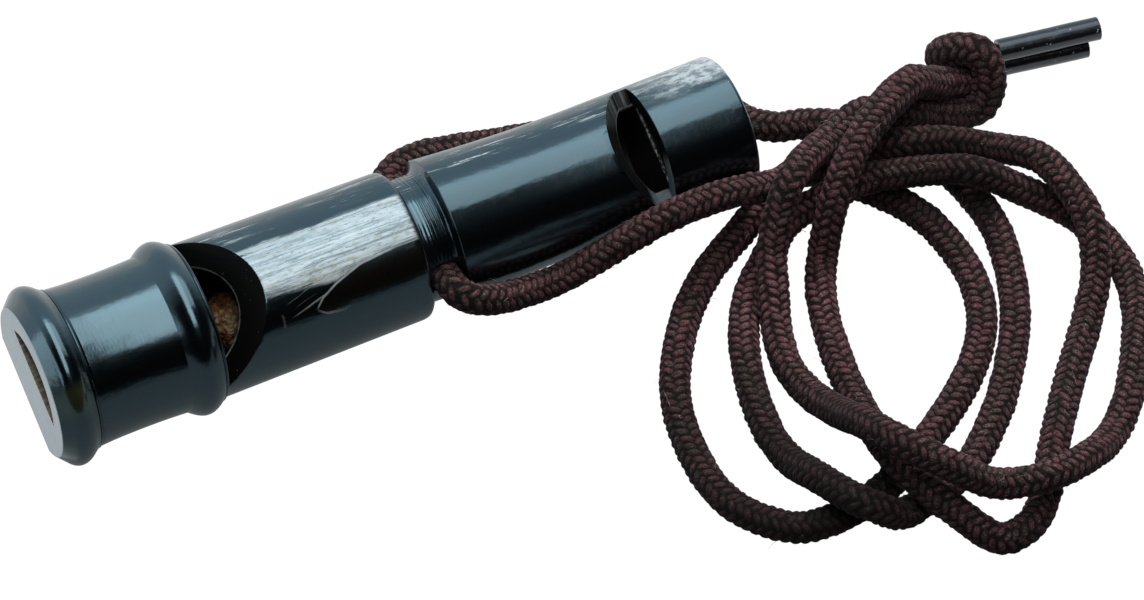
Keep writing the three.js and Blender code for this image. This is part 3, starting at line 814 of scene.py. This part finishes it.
def tube_faces(rings, sides):
    """Quads of a tube of rings, with its two ends closed."""
    ring = np.arange(rings - 1)[:, None] * sides
    here = np.arange(sides)[None]
    after = (here + 1) % sides
    quads = np.stack([ring + here, ring + after, ring + sides + after, ring + sides + here], -1).reshape(-1, 4)
    caps = [list(range(sides))[::-1], [(rings - 1) * sides + i for i in range(sides)]]
    return quads.tolist(), caps


def tube_points(path, up, aside, radii, sides):
    """Rings of points round a path."""
    turns = np.arange(sides)[None, :, None] * TURN / sides
    across = np.cos(turns) * up[:, None] + np.sin(turns) * aside[:, None]
    return (path[:, None] + radii[:, None, None] * across).reshape(-1, 3)


def new_piece(name, points, faces):
    """A smooth piece of lists of points, in millimetres, and of faces."""
    mesh = bpy.data.meshes.new(name)
    mesh.from_pydata((np.vstack(points) * MM).tolist(), [], faces)
    mesh.shade_smooth()
    piece = bpy.data.objects.new(name, mesh)
    bpy.context.scene.collection.objects.link(piece)
    return piece


def braid_mesh(name, path, seed):
    """The stitches that show of yarns braided round the path, about a plain core."""
    draw = np.random.RandomState(seed)
    _, up, aside = carried_frames(path)
    along = np.concatenate([[0], np.cumsum(np.linalg.norm(np.diff(path, axis=0), axis=1))])
    wander = 0.5 * np.sin(along / 21 + draw.rand() * 6) + 0.3 * np.sin(along / 9.3 + draw.rand() * 6)
    fullness = np.interp(along[-1] - along, END_DISTANCES, END_SIZES)

    def at(places, values):
        """Values of the route's points, taken at places along it."""
        if values.ndim == 1:
            return np.interp(places, along, values)
        return np.stack([np.interp(places, along, values[:, i]) for i in range(3)], -1)

    reach, section = STITCH_LENGTHWISE, STITCH_SECTION
    rings, sides = len(reach), len(section)
    ring, side = np.meshgrid(np.arange(rings - 1) * sides, np.arange(sides - 1), indexing="ij")
    corner = (ring + side).ravel()
    stitch_faces = np.stack([corner, corner + 1, corner + sides + 1, corner + sides], -1)
    # how far each point lies from its stitch's crown; the finish paints shade in the crevices by it
    stitch_edge = np.maximum(np.abs(section[None, :, 0]), np.abs(reach[:, None]) / 0.5)
    points, faces, uvs, tones, edges = [], [], [], [], []
    made = 0
    for column in range(STITCH_COLUMNS):
        odd = column % 2
        way = 1 - 2 * odd
        middles = np.arange(0.5 + 0.5 * odd, along[-1] / STITCH_PITCH - 0.3) * STITCH_PITCH
        count = len(middles)
        middles = middles + 0.05 * draw.randn(count)
        places = np.clip(middles[:, None] + reach * STITCH_RISE, 0, along[-1])
        turn = (column + way * reach * 1.25) * TURN / STITCH_COLUMNS
        turn = turn + at(places, wander) + 0.06 * draw.randn(count, 1)
        full = at(places, fullness)
        radius = STITCH_RADIUS + STITCH_SWELL * np.cos(TURN * reach) + 0.02 * draw.randn(count, 1)
        outward = np.cos(turn)[..., None] * at(places, up) + np.sin(turn)[..., None] * at(places, aside)
        outward = outward / np.linalg.norm(outward, axis=-1, keepdims=True)
        middle = at(places, path) + outward * (radius * full)[..., None]
        flank = np.cross(np.gradient(middle, axis=1), outward)
        flank = flank / np.linalg.norm(flank, axis=-1, keepdims=True)
        plump = full * (1 - 0.6 * reach ** 2) * (1 + 0.09 * draw.randn(count, 1))
        width = (STITCH_HALF_WIDTH * plump)[..., None, None] * section[:, :1]
        depth = (STITCH_DEPTH * plump)[..., None, None] * section[:, 1:]
        stitch = middle[:, :, None] + flank[:, :, None] * width + outward[:, :, None] * depth
        points.append(stitch.reshape(-1, 3))
        faces += (made + np.arange(count)[:, None, None] * rings * sides + stitch_faces).reshape(-1, 4).tolist()
        made += count * rings * sides
        run_length = places[:, :, None] * 1.4 + draw.rand(count, 1, 1) * 50
        across = np.arange(sides)[None, None] / sides
        uvs.append(np.stack(np.broadcast_arrays(across, run_length), -1).reshape(-1, 2))
        tone = draw.rand(count, 1) * 0.7 + draw.rand() * 0.3
        tones.append(np.broadcast_to(tone, (count, rings * sides)).ravel())
        edges.append(np.broadcast_to(stitch_edge[None], (count, rings, sides)).ravel())

    thin = slice(None, None, 2)
    core = tube_points(path[thin], up[thin], aside[thin], CORE_RADIUS * fullness[thin], CORE_SIDES)
    quads, caps = tube_faces(len(path[thin]), CORE_SIDES)
    faces += [[made + i for i in face] for face in quads + caps]
    points.append(core)
    uvs.append(np.zeros((len(core), 2)))
    tones.append(np.zeros(len(core)))
    # the core counts as all rim, so it is painted in shade
    edges.append(np.ones(len(core)))

    piece = new_piece(name, points, faces)
    mesh = piece.data
    corner = np.zeros(len(mesh.loops), np.int32)
    mesh.loops.foreach_get("vertex_index", corner)
    layer = mesh.uv_layers.new(name="along_yarn")
    layer.data.foreach_set("uv", np.vstack(uvs)[corner].astype(np.float32).ravel())
    for title, values in (("yarn_tone", tones), ("yarn_edge", edges)):
        layer = mesh.attributes.new(title, "FLOAT", "POINT")
        layer.data.foreach_set("value", np.concatenate(values).astype(np.float32))
    return piece


def fuzz_mesh(name, path, seed):
    """Loose curled fibres lying along the braid."""
    draw = np.random.RandomState(seed)
    ahead, up, aside = carried_frames(path)
    points, faces = [], []
    for n in range(FIBRE_COUNT):
        i = draw.randint(30, len(path) - 30)
        angle = draw.rand() * TURN
        outward = math.cos(angle) * up[i] + math.sin(angle) * aside[i]
        heading = outward * 0.3 * draw.rand() + ahead[i] * draw.randn() + draw.randn(3) * 0.5
        heading /= np.linalg.norm(heading)
        reach = (0.6 + 1.6 * draw.rand() ** 2) / (FIBRE_RINGS - 1)
        spin_axis = draw.randn(3)
        spin_axis /= np.linalg.norm(spin_axis)
        curl = draw.randn() * 0.45
        place = path[i] + outward * FIBRE_START
        line = []
        for _ in range(FIBRE_RINGS):
            line.append(place)
            place = place + heading * reach
            heading = heading + np.cross(spin_axis, heading) * curl
            heading /= np.linalg.norm(heading)
        line = np.array(line)
        line[:, 2] = np.maximum(line[:, 2], 0.06)
        _, fibre_up, fibre_aside = carried_frames(line)
        thick = (0.016 + 0.012 * draw.rand()) * np.linspace(1, 0.5, FIBRE_RINGS)
        points.append(tube_points(line, fibre_up, fibre_aside, thick, FIBRE_SIDES))
        quads, caps = tube_faces(FIBRE_RINGS, FIBRE_SIDES)
        faces += [[n * FIBRE_RINGS * FIBRE_SIDES + j for j in face] for face in quads + caps]
    return new_piece(name, points, faces)


def tip_sleeve(name, start, end, material, seed):
    """A plastic sleeve shrunk over a cord end: drawn out ring by ring, its far end open."""
    start, end = Vector(start) * MM, Vector(end) * MM
    length = (end - start).length
    clear_selection()
    bpy.ops.mesh.primitive_circle_add(vertices=40, radius=SLEEVE_RADIUS * MM, fill_type="NGON")
    sleeve = bpy.context.object
    sleeve.name = name
    bpy.ops.object.mode_set(mode="EDIT")
    bpy.ops.mesh.select_mode(type="FACE")
    bpy.ops.mesh.select_all(action="SELECT")
    for _ in range(SLEEVE_STEPS):
        bpy.ops.mesh.extrude_region_move(TRANSFORM_OT_translate={"value": (0, 0, length / SLEEVE_STEPS)})
    bpy.ops.mesh.inset(thickness=0.1 * MM)
    bpy.ops.mesh.inset(thickness=0.3 * MM)
    bpy.ops.mesh.extrude_region_move(TRANSFORM_OT_translate={"value": (0, 0, -SLEEVE_MOUTH_DEPTH * MM)})
    bpy.ops.mesh.inset(thickness=0.35 * MM)
    bpy.ops.transform.translate(value=(0, 0, 0.4 * MM))
    bpy.ops.mesh.select_all(action="SELECT")
    bpy.ops.mesh.normals_make_consistent(inside=False)
    bpy.ops.object.mode_set(mode="OBJECT")
    shift = Vector((seed, 0, 0))
    for point in sleeve.data.vertices:
        across = Vector((point.co.x, point.co.y, 0))
        swell = 0.02 * noise.noise(point.co / MM * 0.32 + shift) + 0.012 * noise.noise(point.co / MM * 1.1 + shift)
        point.co += across * swell
        if point.co.z > 0.9 * length:
            point.co.z += 0.05 * MM * noise.noise(point.co / MM * 0.8 - shift)
    sleeve.data.materials.append(material)
    pick(sleeve)
    bpy.ops.object.shade_smooth_by_angle(angle=math.radians(40))
    way = (end - start).normalized()
    seat(sleeve, Matrix.Translation(start) @ way.to_track_quat("Z", "Y").to_matrix().to_4x4())
    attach(sleeve, "whistle")
    return sleeve


yarn_finish, fibre_finish, sleeve_finish = braid_yarn(), loose_fibre(), shrunk_plastic()
halves = (
    ("front", 1, FRONT_LEG, FRONT_LOOPS, FRONT_KNOT, "upper", UPPER_SLEEVE_END),
    ("back", -1, BACK_LEG, BACK_LOOPS, BACK_KNOT, "lower", LOWER_SLEEVE_END),
)
for number, (half, side, leg, loops, knot, tip, sleeve_end) in enumerate(halves):
    route = cord_route(side, leg, loops, knot)
    cord = braid_mesh(f"cord_{half}_braid", route, 11 + number)
    cord.data.materials.append(yarn_finish)
    fuzz = fuzz_mesh(f"cord_{half}_fuzz", route, 31 + number)
    fuzz.data.materials.append(fibre_finish)
    sleeve = tip_sleeve(f"tip_sleeve_{tip}_shrunk", route[-1], sleeve_end, sleeve_finish, 3.7 * number)
    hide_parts(f"tip_sleeve_{tip}")
    for piece in (cord, fuzz):
        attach(piece, "whistle")
    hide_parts(f"cord_{half}_leg", f"cord_{half}_loops", "cord_knot")
    out = hole_point(side, HOLE_REACHES[-1])
    tuple(out * MM)


# --- floor, light and camera

def floor():
    """White where it is seen; mirrored in the whistle it carries a painted shadow of the whistle, dimmer in front
    than behind and past both ends.
    """
    clear_selection()
    bpy.ops.mesh.primitive_plane_add(size=8)
    plane = bpy.context.object
    plane.name = "floor"
    pale = Finish("pale_floor")
    light_path = pale.add("ShaderNodeLightPath").socket.node
    seen = Wire(pale, light_path.outputs["Is Camera Ray"]) + Wire(pale, light_path.outputs["Is Transmission Ray"])
    mirrored = Wire(pale, light_path.outputs["Is Glossy Ray"])
    x, y, _ = pale.parts(pale.object_place())
    # painted shadow of the whistle, seen only in reflections: dim in front of the whistle, not past its ends
    past_far_end = pale.ease(x, 0.055, 0.075) * 0.1
    past_mouth = pale.ease(x, -0.0445, -0.0455) * 0.014
    out_of_painted_shadow = pale.ease(y + past_far_end + past_mouth, 0.001, 0.012)
    shown = pale.mix(mirrored, (1, 1, 1), pale.mix(out_of_painted_shadow, (0.27, 0.29, 0.295), (1, 1, 1)))
    lit = pale.add("ShaderNodeBsdfDiffuse", {}, {"Color": (0.08, 0.08, 0.08, 1)})
    white = pale.add("ShaderNodeEmission", {}, {"Color": shown, "Strength": 1.17})
    mixed = pale.add("ShaderNodeMixShader", {}, {0: seen * 0.86 + mirrored * 0.7, 1: lit, 2: white})
    pale.add("ShaderNodeOutputMaterial", {}, {"Surface": mixed})
    plane.data.materials.append(pale.owner)


def sky():
    """Dim room light, darker in front of the whistle than behind it; white where the camera sees it."""
    world = bpy.data.worlds.new("room")
    bpy.context.scene.world = world
    room = Finish("room", world)
    light_path = room.add("ShaderNodeLightPath").socket.node
    seen = Wire(room, light_path.outputs["Is Camera Ray"])
    _, y, _ = room.parts(room.add("ShaderNodeTexCoord"))
    level = room.ease(y, -0.05, 0.6) * 0.8 + 0.004
    tint = room.mix(level, (0, 0, 0), (0.8, 0.98, 1.1))
    colour = room.mix(seen, tint, (1, 1, 1))
    background = room.add("ShaderNodeBackground", {}, {"Color": colour, "Strength": 1.0})
    room.add("ShaderNodeOutputWorld", {}, {"Surface": background})


def softbox(name, place, aim, size, radiance, colour, glossy=True):
    """A lamp with an even face; one that is not glossy is not mirrored in the whistle."""
    lamp = bpy.data.lights.new(name, "AREA")
    lamp.shape = "RECTANGLE"
    lamp.size, lamp.size_y = size
    lamp.energy = radiance * math.pi * size[0] * size[1]
    lamp.color = colour
    box = bpy.data.objects.new(name, lamp)
    bpy.context.scene.collection.objects.link(box)
    box.location = place
    box.rotation_euler = (Vector(place) - Vector(aim)).to_track_quat("Z", "Y").to_euler()
    box.visible_glossy = glossy


def photo_camera():
    lens = bpy.data.cameras.new("photo_camera")
    lens.lens = VIEW_LENS
    lens.sensor_width = 36
    lens.clip_start, lens.clip_end = 0.01, 30
    camera = bpy.data.objects.new("photo_camera", lens)
    bpy.context.scene.collection.objects.link(camera)
    reach = math.cos(VIEW_HEIGHT)
    back = Vector((math.sin(VIEW_AZIMUTH) * reach, -math.cos(VIEW_AZIMUTH) * reach, math.sin(VIEW_HEIGHT)))
    camera.location = VIEW_TARGET + back * VIEW_DISTANCE
    camera.rotation_euler = back.to_track_quat("Z", "Y").to_euler()
    bpy.context.scene.camera = camera


floor()
sky()
DAYLIGHT = (0.95, 0.985, 1.0)
softbox("overhead_softbox", (0.012, 0.14, 0.6), (0.012, 0.14, 0), (0.324, 0.52), 3.5, DAYLIGHT)
softbox("rear_softbox", (0.412, 0.14, 0.6), (0.412, 0.14, 0), (0.476, 0.52), 2.15, DAYLIGHT)
softbox("mouthpiece_softbox", (0.008, -0.285, 0.6), (0.008, -0.285, 0), (0.316, 0.33), 3.5, DAYLIGHT)
softbox("left_window", (-0.7, 0.05, 0.22), (0, 0, 0.01), (0.6, 0.26), 1.6, (0.92, 0.97, 1.0))
softbox("front_fill", (-0.25, -0.6, 0.55), (0.02, -0.01, 0), (0.5, 0.4), 0.12, (1.0, 0.98, 0.96), glossy=False)
softbox("back_key", (0.44, 0.42, 0.55), (0.03, -0.02, 0.01), (0.16, 0.16), 118, (0.96, 0.98, 1.0), glossy=False)
photo_camera()
bpy.context.scene.view_settings.view_transform = "Standard"
